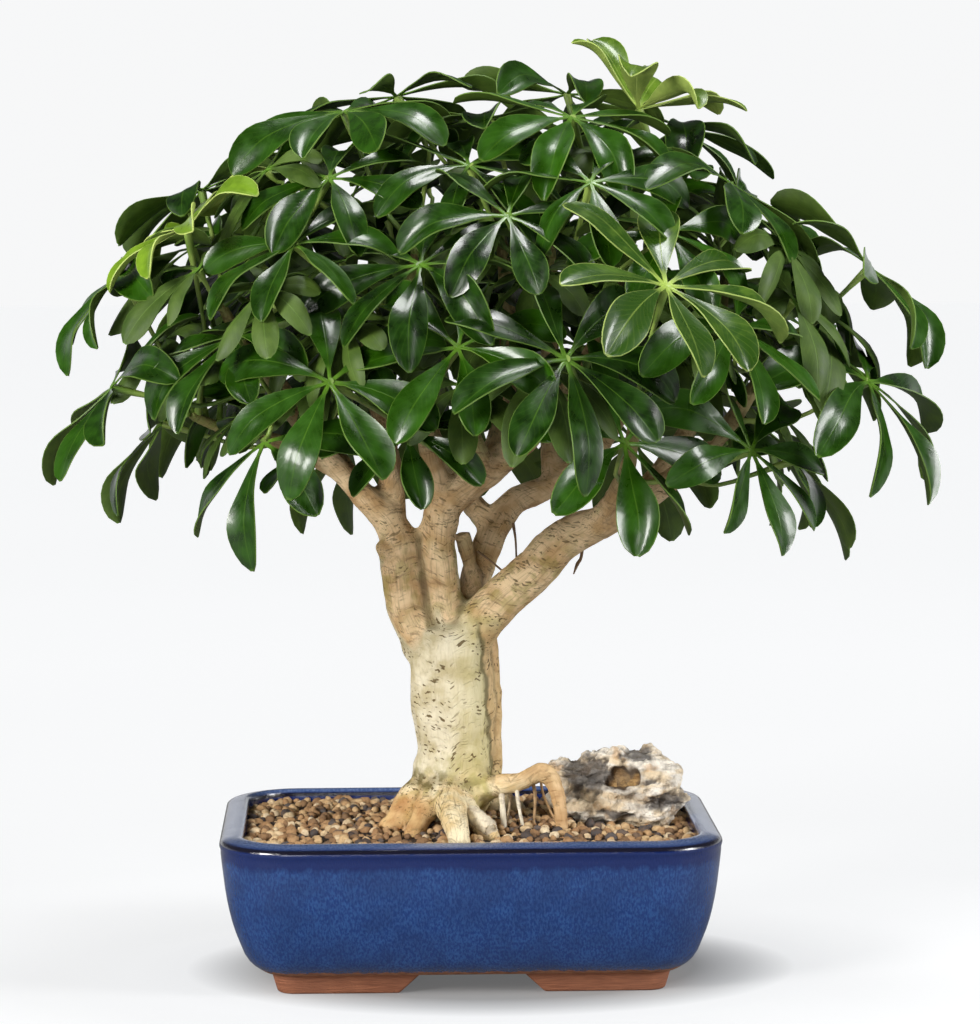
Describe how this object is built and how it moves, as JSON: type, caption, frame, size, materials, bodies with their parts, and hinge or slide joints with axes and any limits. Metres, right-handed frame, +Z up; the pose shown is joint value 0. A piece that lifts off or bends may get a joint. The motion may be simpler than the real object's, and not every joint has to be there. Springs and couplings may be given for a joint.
{
  "type": "bonsai tree in a pot",
  "caption": "Dwarf umbrella tree trained as a bonsai: forked pale trunk on exposed roots, glossy palmate leaves, a weathered stone, in a blue-glazed rectangular clay pot on feet.",
  "frame": {"origin": "middle of the bottom of the whole object's box, on the surface that the pot's feet stand on", "axes": "+Z up, +X to the right and -Y towards the viewer of the pot's long front side"},
  "size_m": [0.3592, 0.2872, 0.3809],
  "materials": {
    "glazed_clay": "glossy deep blue glaze, bare brown clay feet",
    "potting_grit": "loose fired clay granules, tan and brown",
    "stone": "rough weathered, cream and slate",
    "bark": "pale smooth bark with ring scars and dark flecks",
    "leaf": "glossy dark green leaf",
    "young_leaf": "glossy yellow-green young leaf",
    "screen": "black plastic mesh"
  },
  "bodies": {
    "root": {"drain_screen_left": "screen", "drain_screen_right": "screen", "leaf_back_1": "leaf", "leaf_back_2": "leaf", "leaf_back_3": "leaf", "leaf_back_4": "leaf", "leaf_back_5": "leaf", "leaf_back_6": "leaf", "leaf_back_7": "leaf", "leaf_back_8": "leaf", "leaf_centre_top_1": "leaf", "leaf_centre_top_2": "leaf", "leaf_centre_top_3": "leaf", "leaf_centre_top_4": "leaf", "leaf_centre_top_5": "leaf", "leaf_centre_top_6": "leaf", "leaf_front_1": "leaf", "leaf_front_10": "leaf", "leaf_front_11": "leaf", "leaf_front_2": "leaf", "leaf_front_3": "leaf", "leaf_front_4": "leaf", "leaf_front_5": "leaf", "leaf_front_6": "leaf", "leaf_front_7": "leaf", "leaf_front_8": "young_leaf", "leaf_front_9": "leaf", "leaf_left_1": "young_leaf", "leaf_left_10": "leaf", "leaf_left_2": "leaf", "leaf_left_3": "leaf", "leaf_left_4": "leaf", "leaf_left_5": "leaf", "leaf_left_6": "leaf", "leaf_left_7": "leaf", "leaf_left_8": "leaf", "leaf_left_9": "leaf", "leaf_left_top_1": "leaf", "leaf_left_top_2": "leaf", "leaf_left_top_3": "leaf", "leaf_left_top_4": "leaf", "leaf_left_top_5": "leaf", "leaf_right_1": "leaf", "leaf_right_2": "leaf", "leaf_right_3": "leaf", "leaf_right_4": "leaf", "leaf_right_5": "leaf", "leaf_right_6": "leaf", "leaf_right_7": "leaf", "leaf_right_top_1": "young_leaf", "leaf_right_top_2": "leaf", "leaf_right_top_3": "leaf", "leaf_right_top_4": "leaf", "leaf_right_top_5": "leaf", "pot": "glazed_clay", "soil": "potting_grit", "stone": "stone", "trunk": "bark"}
  },
  "joints": []
}
